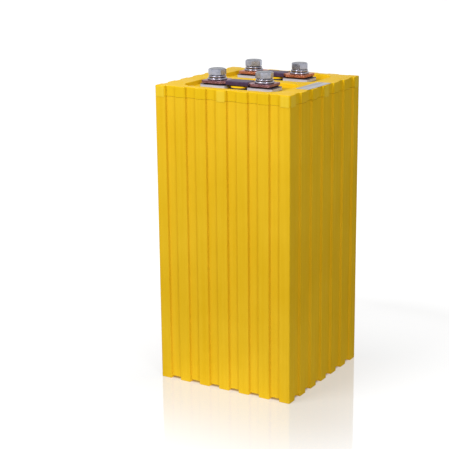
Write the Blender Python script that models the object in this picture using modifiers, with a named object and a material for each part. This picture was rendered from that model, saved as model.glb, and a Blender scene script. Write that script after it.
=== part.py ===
"""Tall ribbed prismatic battery cell, modelled as the separate pieces that it is assembled from.

Run with:  blender --background --python part.py
Metres, +Z up. The origin is at the centre of the base, on the floor. The front faces -Y.
Millimetre values are written as multiples of MM, so that every size reads as it would on a drawing.
"""

import math

import bmesh
import bpy
from mathutils import Matrix, Vector

MM = 0.001

# ---------------------------------------------------------------- driving dimensions
CASE_X = 209 * MM              # over the ribs, left to right
CASE_Y = 206 * MM              # over the ribs, front to back
CASE_Z = 424 * MM              # floor to the lid's rim
GAP = 0.3 * MM                 # clearance between neighbouring pieces

# Ribs and recesses alternate along each side, and a rib stands at each corner.
RIB_COUNT = 7
RECESS_DEPTH = 3.0 * MM
FLANK_RUN = 0.7 * MM           # sideways draft of a rib's flank
CORNER_RADIUS = 1.6 * MM
WALL = 4.5 * MM                # behind the recesses
FOOT_HEIGHT = 3.4 * MM         # ribs run on below the base as feet
FOOT_LENGTH = 13 * MM
FOOT_EASE = 0.5 * MM           # feet are this much narrower than their ribs, each side
BASE_THICKNESS = 4.0 * MM

LID_HEIGHT = 14.6 * MM         # seam to rim
SEAM = 0.5 * MM
SEAL_SETBACK = 1.2 * MM        # from the recess floor to the seal's edge
TONGUE_DEPTH = 7 * MM          # the lid's locating wall, below the seam
TONGUE_WALL = 3.0 * MM
TONGUE_PLAY = 0.4 * MM         # between the tongue and the case's inner wall
LID_PLATE = 4.5 * MM
TAB_RIBS = (0, 3, 6)           # ribs that carry a raised pad at the lid
TAB_PROUD = 0.5 * MM
TAB_SETBACK = 1.6 * MM         # from the seam to the tab's lower edge
TAB_TOP = 1.5 * MM             # from the rim to the tab's upper edge

# One pocket in the lid for each pair of poles.
POCKET_X = 150 * MM
POCKET_NEAR = 10 * MM          # from the centre plane
POCKET_FAR = 87 * MM
POCKET_DEPTH = 5.5 * MM
POCKET_RADIUS = 20 * MM
POCKET_DRAFT = 0.8 * MM

POLE_X = 37 * MM               # bolt centres
POLE_Y = 50 * MM

PAD_SIZE = (39 * MM, 29 * MM)
PAD_RADIUS = 2 * MM
LINK_LENGTH = 106 * MM
LINK_END_WIDTH = 33 * MM
LINK_NECK_WIDTH = 20 * MM
LINK_END_LENGTH = 29 * MM
LINK_TAPER = 5 * MM
LINK_THICKNESS = 5 * MM
SLEEVE_LENGTH = 35 * MM
SLEEVE_WALL = 0.6 * MM

# M14 hexagon bolt, spring washer and flat washer.
BOLT_RADIUS = 7 * MM
BOLT_LENGTH = 30 * MM
HEX_FLATS = 22 * MM
HEX_HEIGHT = 8.8 * MM
BOLT_HOLE_RADIUS = 7.6 * MM
BOLT_TURNS = {("front", "left"): 23, ("front", "right"): 39, ("back", "left"): 46, ("back", "right"): 1}
FLAT_WASHER = (14 * MM, 7.5 * MM, 2.5 * MM)      # outer radius, inner radius, thickness
SPRING_WASHER = (12 * MM, 7.4 * MM, 3.0 * MM)
WASHER_SLIT = 1.6 * MM

POLE_NECK_RADIUS = 12 * MM
POLE_FLANGE_RADIUS = 18 * MM
POLE_FLANGE = 8 * MM
POLE_FLOOR = 2.3 * MM          # metal left under the tapped hole
SEAL_THICKNESS = 2.7 * MM
COLLECTOR_SIZE = (150 * MM, 30 * MM, 5 * MM)

STACK_COUNT = 4
STACK_HEIGHT = 371 * MM
WRAP_WALL = 0.8 * MM
WRAP_TOP = 388 * MM
WRAP_PLAY = 0.4 * MM
BASE_PAD = 3 * MM
SPACER = 3 * MM
TAB_WIDTH = 30 * MM
TAB_ROOT = 34 * MM
TAB_TIP = 9 * MM

# Relief valve in the land between the pockets.
VALVE_SEAT_HOLE = 3.0 * MM
VALVE_BORE = 7.3 * MM
VALVE_DEPTH = 8.2 * MM
DISC = (5.5 * MM, 1.8 * MM)
STEM_RADIUS = 2.0 * MM
STEM_LENGTH = 3.3 * MM
CAP_FLANGE = (8.5 * MM, 1.6 * MM)
CAP_SKIRT = (7.0 * MM, 5.8 * MM)
CAP_CEILING = 422.3 * MM
CAP_SKIRT_END = 419.0 * MM
VENT_HOLES = 3
VENT_RADIUS = 0.9 * MM
VENT_CIRCLE = 4.2 * MM
VENT_TURN = 82.5                # degrees, of the first hole
STEM_PLAY = 0.5 * MM
SPRING_RADIUS = 3.6 * MM
SPRING_WIRE = 0.25 * MM         # radius
SPRING_TURNS = 3

LABEL = (20 * MM, 65 * MM, 0.3 * MM)
LABEL_RADIUS = 1.5 * MM
LABEL_LIFT = 0.1 * MM
LABEL_CENTRE = (92 * MM, -14 * MM)

# ---------------------------------------------------------------- derived sizes
UNIT_COUNT = 2 * RIB_COUNT - 1
HALF_X = CASE_X / 2
HALF_Y = CASE_Y / 2
INNER_X = HALF_X - RECESS_DEPTH - WALL
INNER_Y = HALF_Y - RECESS_DEPTH - WALL
INNER_RADIUS = 4 * MM
BASE_TOP = FOOT_HEIGHT + BASE_THICKNESS
SEAM_Z = CASE_Z - LID_HEIGHT
POCKET_FLOOR = CASE_Z - POCKET_DEPTH
PLATE_UNDERSIDE = POCKET_FLOOR - LID_PLATE
PAD_BOTTOM = POCKET_FLOOR + GAP
PAD_TOP = CASE_Z
LINK_BOTTOM = PAD_TOP + GAP
LINK_TOP = LINK_BOTTOM + LINK_THICKNESS
FLAT_WASHER_BOTTOM = LINK_TOP + GAP
SPRING_WASHER_BOTTOM = FLAT_WASHER_BOTTOM + FLAT_WASHER[2] + GAP
HEAD_BOTTOM = SPRING_WASHER_BOTTOM + SPRING_WASHER[2] + GAP
SEAL_TOP = PLATE_UNDERSIDE - GAP
FLANGE_TOP = SEAL_TOP - SEAL_THICKNESS - GAP
FLANGE_BOTTOM = FLANGE_TOP - POLE_FLANGE
COLLECTOR_TOP = FLANGE_BOTTOM - GAP
COLLECTOR_BOTTOM = COLLECTOR_TOP - COLLECTOR_SIZE[2]
STACK_BOTTOM = BASE_TOP + GAP + BASE_PAD + GAP + WRAP_WALL + GAP
STACK_TOP = STACK_BOTTOM + STACK_HEIGHT
TABS_BOTTOM = STACK_TOP + GAP
TABS_TOP = COLLECTOR_BOTTOM - GAP
SPACER_BOTTOM = STACK_TOP + 1 * MM
WRAP_X = INNER_X - WRAP_PLAY
WRAP_Y = INNER_Y - WRAP_PLAY

ROWS = {"front": -1, "back": 1}
SIDES = {"left": -1, "right": 1}
POLARITY = {"front": "positive", "back": "negative"}


# ---------------------------------------------------------------- scene and materials
def clear_scene():
    for item in list(bpy.data.objects):
        bpy.data.objects.remove(item, do_unlink=True)


def new_collection(name):
    collection = bpy.data.collections.new(name)
    bpy.context.scene.collection.children.link(collection)
    return collection


def principled(name, colour, roughness, metallic=0.0):
    material = bpy.data.materials.new(name)
    material.use_nodes = True
    shader = material.node_tree.nodes["Principled BSDF"]
    shader.inputs["Base Color"].default_value = (*colour, 1.0)
    shader.inputs["Roughness"].default_value = roughness
    shader.inputs["Metallic"].default_value = metallic
    material.diffuse_color = (*colour, 1.0)
    return material


clear_scene()
PARTS = new_collection("battery_cell")
CUTTERS = new_collection("cutters")

YELLOW = principled("moulded_yellow", (0.83, 0.56, 0.03), 0.35)
BLACK_RUBBER = principled("black_rubber", (0.03, 0.03, 0.03), 0.6)
COPPER = principled("copper", (0.62, 0.26, 0.14), 0.35, 1.0)
ALUMINIUM = principled("aluminium", (0.75, 0.76, 0.77), 0.4, 1.0)
PLATED = principled("plated_contact", (0.68, 0.67, 0.7), 0.35, 1.0)
ZINC = principled("zinc_steel", (0.5, 0.51, 0.54), 0.3, 1.0)
SLEEVE = principled("shrink_sleeve", (0.09, 0.06, 0.11), 0.45)
ELECTRODE = principled("electrode_foil", (0.13, 0.13, 0.14), 0.7)
FILM = principled("clear_film", (0.75, 0.8, 0.85), 0.3)
GREY_PLASTIC = principled("grey_plastic", (0.35, 0.36, 0.37), 0.5)
LABEL_FOIL = principled("label_foil", (0.6, 0.6, 0.62), 0.4)


# ---------------------------------------------------------------- shape helpers
def add_object(name, mesh, material=None, location=(0, 0, 0), collection=PARTS):
    """Link a mesh as an object; without a material it is a cutter."""
    item = bpy.data.objects.new(name, mesh)
    item.location = location
    if material is None:
        CUTTERS.objects.link(item)
        item.hide_render = True
        item.display_type = "WIRE"
        return item
    collection.objects.link(item)
    if not mesh.materials:
        mesh.materials.append(material)
    return item


def outline_mesh(name, outline, bottom, top):
    """Extrude a closed flat outline between two heights, by way of a filled 2D curve."""
    curve = bpy.data.curves.new(name, "CURVE")
    curve.dimensions = "2D"
    curve.fill_mode = "BOTH"
    curve.extrude = (top - bottom) / 2
    spline = curve.splines.new("POLY")
    spline.points.add(len(outline) - 1)
    for point, (x, y) in zip(spline.points, outline):
        point.co = (x, y, 0, 1)
    spline.use_cyclic_u = True
    holder = bpy.data.objects.new(name + "_curve", curve)
    bpy.context.scene.collection.objects.link(holder)
    depsgraph = bpy.context.evaluated_depsgraph_get()
    mesh = bpy.data.meshes.new_from_object(holder.evaluated_get(depsgraph))
    bpy.data.objects.remove(holder, do_unlink=True)
    shape = bmesh.new()
    shape.from_mesh(mesh)
    bmesh.ops.remove_doubles(shape, verts=shape.verts, dist=1e-5)
    # Each cap becomes one face again, so that no sliver is left between points in a line.
    bmesh.ops.dissolve_limit(shape, angle_limit=math.radians(1), verts=shape.verts, edges=shape.edges)
    bmesh.ops.recalc_face_normals(shape, faces=shape.faces)
    bmesh.ops.translate(shape, verts=shape.verts, vec=(0, 0, (bottom + top) / 2))
    shape.to_mesh(mesh)
    shape.free()
    mesh.name = name
    return mesh


def outline_solid(name, outline, bottom, top, material=None, location=(0, 0, 0)):
    return add_object(name, outline_mesh(name, outline, bottom, top), material, location)


def arc(centre, radius, start, end, steps):
    """Points on an arc, from the start angle to the end angle in degrees."""
    angles = [math.radians(start + (end - start) * step / steps) for step in range(steps + 1)]
    return [(centre[0] + radius * math.cos(a), centre[1] + radius * math.sin(a)) for a in angles]


def rounded_rectangle(half_x, half_y, radius, steps=3):
    """Counter-clockwise rectangle round the origin with round corners."""
    points = []
    for quarter, (sign_x, sign_y) in enumerate(((1, 1), (-1, 1), (-1, -1), (1, -1))):
        centre = (sign_x * (half_x - radius), sign_y * (half_y - radius))
        points += arc(centre, radius, 90 * quarter, 90 * quarter + 90, steps)
    return points


def box_mesh(name, low, high):
    shape = bmesh.new()
    bmesh.ops.create_cube(shape, size=1.0)
    size = [high[k] - low[k] for k in range(3)]
    middle = [(high[k] + low[k]) / 2 for k in range(3)]
    bmesh.ops.scale(shape, verts=shape.verts, vec=size)
    bmesh.ops.translate(shape, verts=shape.verts, vec=middle)
    mesh = bpy.data.meshes.new(name)
    shape.to_mesh(mesh)
    shape.free()
    return mesh


def box(name, low, high, material=None, location=(0, 0, 0)):
    return add_object(name, box_mesh(name, low, high), material, location)


def boxes(name, corners):
    """Several separate boxes in one cutter."""
    shape = bmesh.new()
    for low, high in corners:
        mesh = box_mesh(name + "_one", low, high)
        shape.from_mesh(mesh)
        bpy.data.meshes.remove(mesh)
    mesh = bpy.data.meshes.new(name)
    shape.to_mesh(mesh)
    shape.free()
    return add_object(name, mesh)


def cylinder(name, radius, bottom, top, material=None, location=(0, 0, 0), segments=24):
    shape = bmesh.new()
    bmesh.ops.create_cone(shape, cap_ends=True, segments=segments, radius1=radius, radius2=radius,
                          depth=top - bottom)
    bmesh.ops.translate(shape, verts=shape.verts, vec=(0, 0, (bottom + top) / 2))
    mesh = bpy.data.meshes.new(name)
    shape.to_mesh(mesh)
    shape.free()
    return add_object(name, mesh, material, location)


def turned_mesh(name, profile, segments, closed):
    """Turn an (r, z) profile round Z. It runs down the outer side, top to bottom."""
    mesh = bpy.data.meshes.new(name)
    count = len(profile)
    edges = [(k, k + 1) for k in range(count - 1)]
    if closed:
        edges.append((count - 1, 0))
    mesh.from_pydata([(r, 0, z) for r, z in profile], edges, [])
    holder = bpy.data.objects.new(name + "_profile", mesh)
    bpy.context.scene.collection.objects.link(holder)
    screw = holder.modifiers.new("turn", "SCREW")
    screw.steps = segments
    screw.render_steps = segments
    screw.use_merge_vertices = True
    screw.merge_threshold = 1e-5
    screw.use_smooth_shade = False
    depsgraph = bpy.context.evaluated_depsgraph_get()
    result = bpy.data.meshes.new_from_object(holder.evaluated_get(depsgraph))
    result.name = name
    bpy.data.objects.remove(holder, do_unlink=True)
    return result


def smooth_round(item, degrees=35):
    """Shade the round faces smooth and keep the edges sharp."""
    item.data.shade_smooth()
    item.data.set_sharp_from_angle(angle=math.radians(degrees))


def turned(name, profile, material=None, location=(0, 0, 0), segments=24, closed=True):
    item = add_object(name, turned_mesh(name, profile, segments, closed), material, location)
    smooth_round(item)
    return item


def ring_profile(outer, inner, bottom, top, chamfer=0.0):
    """Profile of a flat ring, with its two outer edges chamfered."""
    if chamfer == 0.0:
        return [(outer, top), (outer, bottom), (inner, bottom), (inner, top)]
    return [(outer - chamfer, top), (outer, top - chamfer), (outer, bottom + chamfer),
            (outer - chamfer, bottom), (inner, bottom), (inner, top)]


def combine(item, tool, operation="DIFFERENCE"):
    modifier = item.modifiers.new(operation.lower() + "_" + tool.name, "BOOLEAN")
    modifier.operation = operation
    modifier.solver = "EXACT"
    modifier.object = tool


def bevel_edges(item, width, segments=1, angle=40):
    modifier = item.modifiers.new("rounded_edges", "BEVEL")
    modifier.width = width
    modifier.segments = segments
    modifier.limit_method = "ANGLE"
    modifier.angle_limit = math.radians(angle)
    modifier.use_clamp_overlap = True


# ---------------------------------------------------------------- ribs and recesses
def recess_positions(length):
    """Start and end of each recess along a side."""
    unit = length / UNIT_COUNT
    return [(-length / 2 + unit * (2 * k + 1), -length / 2 + unit * (2 * k + 2))
            for k in range(RIB_COUNT - 1)]


def make_recess_cutter():
    """One drafted flute for each recess, on all four sides, from under the feet to over the rim."""
    beyond = 2 * MM
    spread = FLANK_RUN * beyond / RECESS_DEPTH
    shape = bmesh.new()
    sides = [(CASE_X, HALF_Y), (CASE_Y, HALF_X)] * 2
    for index, (length, half_depth) in enumerate(sides):
        turn = Matrix.Rotation(math.radians(90 * index), 2)
        floor = -half_depth + RECESS_DEPTH
        mouth = -half_depth - beyond
        for start, end in recess_positions(length):
            corners = [(start - spread, mouth), (end + spread, mouth), (end - FLANK_RUN, floor),
                       (start + FLANK_RUN, floor)]
            outline = [tuple(turn @ Vector(corner)) for corner in corners]
            flute = outline_mesh("flute", outline, -5 * MM, CASE_Z + 5 * MM)
            shape.from_mesh(flute)
            bpy.data.meshes.remove(flute)
    mesh = bpy.data.meshes.new("cut_recesses")
    shape.to_mesh(mesh)
    shape.free()
    return add_object("cut_recesses", mesh)


# ---------------------------------------------------------------- case
def make_case(recesses):
    case = outline_solid("case", rounded_rectangle(HALF_X, HALF_Y, CORNER_RADIUS, steps=2), 0,
                         SEAM_Z - SEAM / 2, YELLOW)
    cavity = outline_solid("cut_cavity", rounded_rectangle(INNER_X, INNER_Y, INNER_RADIUS),
                           BASE_TOP, CASE_Z)
    combine(case, cavity)
    reach = CASE_X
    below = -5 * MM
    middle = box("cut_under_base", (-HALF_X + FOOT_LENGTH, -HALF_Y + FOOT_LENGTH, below),
                 (HALF_X - FOOT_LENGTH, HALF_Y - FOOT_LENGTH, FOOT_HEIGHT))
    combine(case, middle)
    across = [((start - FOOT_EASE, -reach, below), (end + FOOT_EASE, reach, FOOT_HEIGHT))
              for start, end in recess_positions(CASE_X)]
    along = [((-reach, start - FOOT_EASE, below), (reach, end + FOOT_EASE, FOOT_HEIGHT))
             for start, end in recess_positions(CASE_Y)]
    combine(case, boxes("cut_between_feet_x", across))
    combine(case, boxes("cut_between_feet_y", along))
    combine(case, recesses)


# ---------------------------------------------------------------- lid
def pocket_cutter(name, row):
    """Pocket with drafted walls: its floor is a little smaller than its mouth."""
    half_x = POCKET_X / 2
    half_y = (POCKET_FAR - POCKET_NEAR) / 2
    centre_y = row * (POCKET_FAR + POCKET_NEAR) / 2
    above = 5 * MM
    outline = rounded_rectangle(half_x, half_y, POCKET_RADIUS, steps=6)
    mesh = outline_mesh(name, outline, POCKET_FLOOR, CASE_Z + above)
    draft = POCKET_DRAFT * (POCKET_DEPTH + above) / POCKET_DEPTH
    for vertex in mesh.vertices:
        if vertex.co.z < CASE_Z:
            vertex.co.x *= 1 - POCKET_DRAFT / half_x
            vertex.co.y *= 1 - POCKET_DRAFT / half_y
        else:
            vertex.co.x *= 1 + (draft - POCKET_DRAFT) / half_x
            vertex.co.y *= 1 + (draft - POCKET_DRAFT) / half_y
    return add_object(name, mesh, location=(0, centre_y, 0))


def lid_tabs():
    """Raised pads on the first, middle and last rib of each side of the lid."""
    corners = []
    for length, half_depth, swap in ((CASE_X, HALF_Y, False), (CASE_Y, HALF_X, True)):
        unit = length / UNIT_COUNT
        for rib in TAB_RIBS:
            start = -length / 2 + unit * 2 * rib
            low_along = start + FLANK_RUN
            high_along = start + unit - FLANK_RUN
            for side in (-1, 1):
                outer = side * (half_depth + TAB_PROUD)
                inner = side * (half_depth - 2 * MM)
                low_out, high_out = sorted((outer, inner))
                z_low = SEAM_Z + SEAM / 2 + TAB_SETBACK
                z_high = CASE_Z - TAB_TOP
                if swap:
                    corners.append(((low_out, low_along, z_low), (high_out, high_along, z_high)))
                else:
                    corners.append(((low_along, low_out, z_low), (high_along, high_out, z_high)))
    return corners


def make_lid(recesses):
    lid = outline_solid("lid", rounded_rectangle(HALF_X, HALF_Y, CORNER_RADIUS, steps=2),
                        SEAM_Z + SEAM / 2, CASE_Z, YELLOW)
    tongue_x = INNER_X - TONGUE_PLAY
    tongue_y = INNER_Y - TONGUE_PLAY
    tongue = outline_solid("join_tongue", rounded_rectangle(tongue_x, tongue_y, INNER_RADIUS),
                           SEAM_Z - TONGUE_DEPTH, SEAM_Z + 2 * MM)
    combine(lid, tongue, "UNION")
    hollow = outline_solid("cut_lid_hollow",
                           rounded_rectangle(tongue_x - TONGUE_WALL, tongue_y - TONGUE_WALL, INNER_RADIUS),
                           SEAM_Z - TONGUE_DEPTH - 2 * MM, PLATE_UNDERSIDE)
    combine(lid, hollow)
    for name, row in ROWS.items():
        combine(lid, pocket_cutter("cut_pocket_" + name, row))
        for side in SIDES.values():
            hole = cylinder(f"cut_pole_hole_{name}_{side}", POLE_NECK_RADIUS + GAP,
                            PLATE_UNDERSIDE - 5 * MM, POCKET_FLOOR + 5 * MM,
                            location=(side * POLE_X, row * POLE_Y, 0))
            combine(lid, hole)
    combine(lid, cylinder("cut_valve_bore", VALVE_BORE, CASE_Z - VALVE_DEPTH, CASE_Z + 5 * MM))
    combine(lid, cylinder("cut_valve_seat", VALVE_SEAT_HOLE, PLATE_UNDERSIDE - 5 * MM,
                          CASE_Z - VALVE_DEPTH + 1 * MM, segments=16))
    combine(lid, boxes("join_tabs", lid_tabs()), "UNION")
    combine(lid, recesses)


def make_lid_seal():
    """Flat ring that closes the seam, set back from the recesses."""
    outer_x = HALF_X - RECESS_DEPTH - SEAL_SETBACK
    outer_y = HALF_Y - RECESS_DEPTH - SEAL_SETBACK
    bottom = SEAM_Z - SEAM / 2 + 0.05 * MM
    top = SEAM_Z + SEAM / 2 - 0.05 * MM
    seal = outline_solid("lid_seal", rounded_rectangle(outer_x, outer_y, INNER_RADIUS), bottom, top,
                         BLACK_RUBBER)
    opening = outline_solid("cut_lid_seal", rounded_rectangle(INNER_X, INNER_Y, INNER_RADIUS),
                            bottom - 1 * MM, top + 1 * MM)
    combine(seal, opening)


# ---------------------------------------------------------------- poles, links and bolts
def link_outline():
    """Wide square ends with a narrower neck between them, tapered into one another."""
    half = LINK_LENGTH / 2
    end = LINK_END_WIDTH / 2
    neck = LINK_NECK_WIDTH / 2
    shoulder = half - LINK_END_LENGTH
    throat = shoulder - LINK_TAPER
    chamfer = 2 * MM
    quarter = [(half, end - chamfer), (half - chamfer, end), (shoulder, end), (throat, neck)]
    upper = quarter + [(-x, y) for x, y in reversed(quarter)]
    return upper + [(-x, -y) for x, y in upper]


def make_link(row_name, row):
    link = outline_solid(f"{POLARITY[row_name]}_link", link_outline(), LINK_BOTTOM, LINK_TOP, COPPER,
                         location=(0, row * POLE_Y, 0))
    for side in SIDES.values():
        hole = cylinder(f"cut_link_hole_{row_name}_{side}", BOLT_HOLE_RADIUS, LINK_BOTTOM - 1 * MM,
                        LINK_TOP + 1 * MM, location=(side * POLE_X, row * POLE_Y, 0))
        combine(link, hole)
    bevel_edges(link, 0.4 * MM)


def make_sleeve(row_name, row):
    """Shrink sleeve round the link's neck: a rounded tube along X."""
    half_width = LINK_NECK_WIDTH / 2 + GAP
    half_height = LINK_THICKNESS / 2 + GAP
    half_length = SLEEVE_LENGTH / 2
    height = (LINK_BOTTOM + LINK_TOP) / 2
    outer = outline_mesh(f"{POLARITY[row_name]}_link_sleeve",
                         rounded_rectangle(half_width + SLEEVE_WALL, half_height + SLEEVE_WALL, 1.6 * MM),
                         -half_length, half_length)
    inner = outline_mesh(f"cut_sleeve_{row_name}", rounded_rectangle(half_width, half_height, 0.6 * MM, 1),
                         -half_length - 1 * MM, half_length + 1 * MM)
    # Drawn along Z; a third of a turn about the diagonal takes Z to X, X to Y and Y to Z.
    lay = Matrix.Rotation(math.radians(120), 4, Vector((1, 1, 1)))
    for mesh in (outer, inner):
        mesh.transform(lay)
    sleeve = add_object(outer.name, outer, SLEEVE, (0, row * POLE_Y, height))
    bore = add_object(inner.name, inner, location=(0, row * POLE_Y, height))
    combine(sleeve, bore)
    smooth_round(sleeve)


def make_pad(row_name, row, side_name, side):
    location = (side * POLE_X, row * POLE_Y, 0)
    outline = rounded_rectangle(PAD_SIZE[0] / 2, PAD_SIZE[1] / 2, PAD_RADIUS, steps=2)
    pad = outline_solid(f"{POLARITY[row_name]}_contact_pad_{side_name}", outline, PAD_BOTTOM, PAD_TOP,
                        PLATED, location)
    hole = cylinder(f"cut_pad_hole_{row_name}_{side_name}", BOLT_HOLE_RADIUS, PAD_BOTTOM - 1 * MM,
                    PAD_TOP + 1 * MM, location=location)
    combine(pad, hole)
    bevel_edges(pad, 0.4 * MM)


def make_pole(row_name, row, side_name, side):
    """Round pole with a flange under the lid and a blind tapped hole for the bolt."""
    hole_bottom = FLANGE_BOTTOM + POLE_FLOOR
    profile = [(0, hole_bottom), (BOLT_HOLE_RADIUS, hole_bottom), (BOLT_HOLE_RADIUS, POCKET_FLOOR),
               (POLE_NECK_RADIUS, POCKET_FLOOR), (POLE_NECK_RADIUS, FLANGE_TOP),
               (POLE_FLANGE_RADIUS, FLANGE_TOP), (POLE_FLANGE_RADIUS, FLANGE_BOTTOM), (0, FLANGE_BOTTOM)]
    metal = ALUMINIUM if row_name == "front" else COPPER
    turned(f"{POLARITY[row_name]}_pole_{side_name}", profile, metal,
           (side * POLE_X, row * POLE_Y, 0), closed=False)


def make_pole_seal(row_name, row, side_name, side):
    profile = ring_profile(POLE_FLANGE_RADIUS - 1 * MM, POLE_NECK_RADIUS + GAP,
                           SEAL_TOP - SEAL_THICKNESS, SEAL_TOP)
    turned(f"{POLARITY[row_name]}_pole_seal_{side_name}", profile, BLACK_RUBBER,
           (side * POLE_X, row * POLE_Y, 0))


def make_flat_washer(name, location):
    outer, inner, thickness = FLAT_WASHER
    profile = ring_profile(outer, inner, FLAT_WASHER_BOTTOM, FLAT_WASHER_BOTTOM + thickness, 0.3 * MM)
    turned("flat_washer_" + name, profile, ZINC, location, segments=32)


def make_spring_washer(name, location, turn):
    """Split ring: the slit is cut askew, as a coiled washer's ends lie."""
    outer, inner, thickness = SPRING_WASHER
    bottom = SPRING_WASHER_BOTTOM
    washer = turned("spring_washer_" + name, ring_profile(outer, inner, bottom, bottom + thickness),
                    ZINC, location, segments=28)
    slit = box("cut_slit_" + name, (0, -WASHER_SLIT / 2, -4 * MM), (outer + 3 * MM, WASHER_SLIT / 2, 4 * MM),
               location=(location[0], location[1], bottom + thickness / 2))
    slit.rotation_euler = (math.radians(25), 0, math.radians(turn + 100))
    combine(washer, slit)


def make_bolt(name, location, turn):
    """Hexagon bolt: a chamfered head on a plain shank."""
    corner_radius = HEX_FLATS / 2 / math.cos(math.radians(30))
    head_top = HEAD_BOTTOM + HEX_HEIGHT
    shank_bottom = HEAD_BOTTOM - BOLT_LENGTH
    bolt = cylinder("bolt_" + name, corner_radius, HEAD_BOTTOM, head_top, ZINC, location, segments=6)
    bolt.rotation_euler = (0, 0, math.radians(turn))
    # A 30 degree cone takes the corners off; it meets the top face inside the flats.
    top_radius = HEX_FLATS / 2 * 0.95
    slope = math.tan(math.radians(30))
    over = 1 * MM
    wide = corner_radius + 2 * MM
    cone = [(0, head_top + over), (top_radius - over / slope, head_top + over),
            (wide, head_top - (wide - top_radius) * slope), (wide, HEAD_BOTTOM - over),
            (0, HEAD_BOTTOM - over)]
    combine(bolt, turned("trim_head_" + name, cone, location=location, closed=False), "INTERSECT")
    shank = [(0, HEAD_BOTTOM + 2 * MM), (BOLT_RADIUS, HEAD_BOTTOM + 2 * MM), (BOLT_RADIUS, shank_bottom + 1 * MM),
             (BOLT_RADIUS - 1 * MM, shank_bottom), (0, shank_bottom)]
    combine(bolt, turned("join_shank_" + name, shank, location=location, closed=False), "UNION")


# ---------------------------------------------------------------- inside the case
def make_collector(row_name, row):
    size_x, size_y, _ = COLLECTOR_SIZE
    metal = ALUMINIUM if row_name == "front" else COPPER
    bar = outline_solid(f"{POLARITY[row_name]}_collector_bar",
                        rounded_rectangle(size_x / 2, size_y / 2, 6 * MM), COLLECTOR_BOTTOM, COLLECTOR_TOP,
                        metal, location=(0, row * POLE_Y, 0))
    bevel_edges(bar, 0.5 * MM)


def stack_centres():
    usable = 2 * (WRAP_X - WRAP_WALL)
    pitch = usable / STACK_COUNT
    return pitch, [(-usable / 2 + pitch * (k + 0.5)) for k in range(STACK_COUNT)]


def make_stacks():
    pitch, centres = stack_centres()
    half_x = pitch / 2 - GAP
    half_y = WRAP_Y - WRAP_WALL - GAP
    outline = rounded_rectangle(half_x, half_y, 3 * MM)
    mesh = outline_mesh("electrode_stack", outline, STACK_BOTTOM, STACK_TOP)
    for number, centre in enumerate(centres, start=1):
        add_object(f"electrode_stack_{number}", mesh, ELECTRODE, (centre, 0, 0))


def tab_bundle_mesh(name):
    """Foil tabs: wide where they leave the stack, pressed together under the collector bar."""
    half_width = TAB_WIDTH / 2
    mesh = box_mesh(name, (-TAB_ROOT / 2, -half_width, TABS_BOTTOM), (TAB_ROOT / 2, half_width, TABS_TOP))
    for vertex in mesh.vertices:
        if vertex.co.z > (TABS_BOTTOM + TABS_TOP) / 2:
            vertex.co.x *= TAB_TIP / TAB_ROOT
    return mesh


def make_tabs():
    _, centres = stack_centres()
    for row_name, row in ROWS.items():
        metal = ALUMINIUM if row_name == "front" else COPPER
        for number, centre in enumerate(centres, start=1):
            add_object(f"{POLARITY[row_name]}_tabs_{number}", tab_bundle_mesh(f"tabs_{row_name}_{number}"),
                       metal, (centre, row * POLE_Y, 0))


def make_spacer():
    """Plate over the stacks, with a window for each tab bundle."""
    spacer = outline_solid("top_spacer", rounded_rectangle(WRAP_X - WRAP_WALL - GAP, WRAP_Y - WRAP_WALL - GAP, 3 * MM),
                           SPACER_BOTTOM, SPACER_BOTTOM + SPACER, GREY_PLASTIC)
    _, centres = stack_centres()
    half_x = TAB_ROOT / 2 + 1 * MM
    half_y = TAB_WIDTH / 2 + 1 * MM
    windows = [((centre - half_x, row * POLE_Y - half_y, SPACER_BOTTOM - 1 * MM),
                (centre + half_x, row * POLE_Y + half_y, SPACER_BOTTOM + SPACER + 1 * MM))
               for centre in centres for row in ROWS.values()]
    combine(spacer, boxes("cut_tab_windows", windows))


def make_wrap():
    """Thin insulating bag round the stacks, open at the top."""
    bottom = BASE_TOP + GAP + BASE_PAD + GAP
    wrap = outline_solid("insulating_wrap", rounded_rectangle(WRAP_X, WRAP_Y, INNER_RADIUS), bottom, WRAP_TOP, FILM)
    inside = outline_solid("cut_wrap", rounded_rectangle(WRAP_X - WRAP_WALL, WRAP_Y - WRAP_WALL, 3.2 * MM),
                           bottom + WRAP_WALL, WRAP_TOP + 1 * MM)
    combine(wrap, inside)


def make_base_pad():
    bottom = BASE_TOP + GAP
    outline_solid("base_pad", rounded_rectangle(WRAP_X - 1 * MM, WRAP_Y - 1 * MM, INNER_RADIUS), bottom,
                  bottom + BASE_PAD, GREY_PLASTIC)


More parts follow.
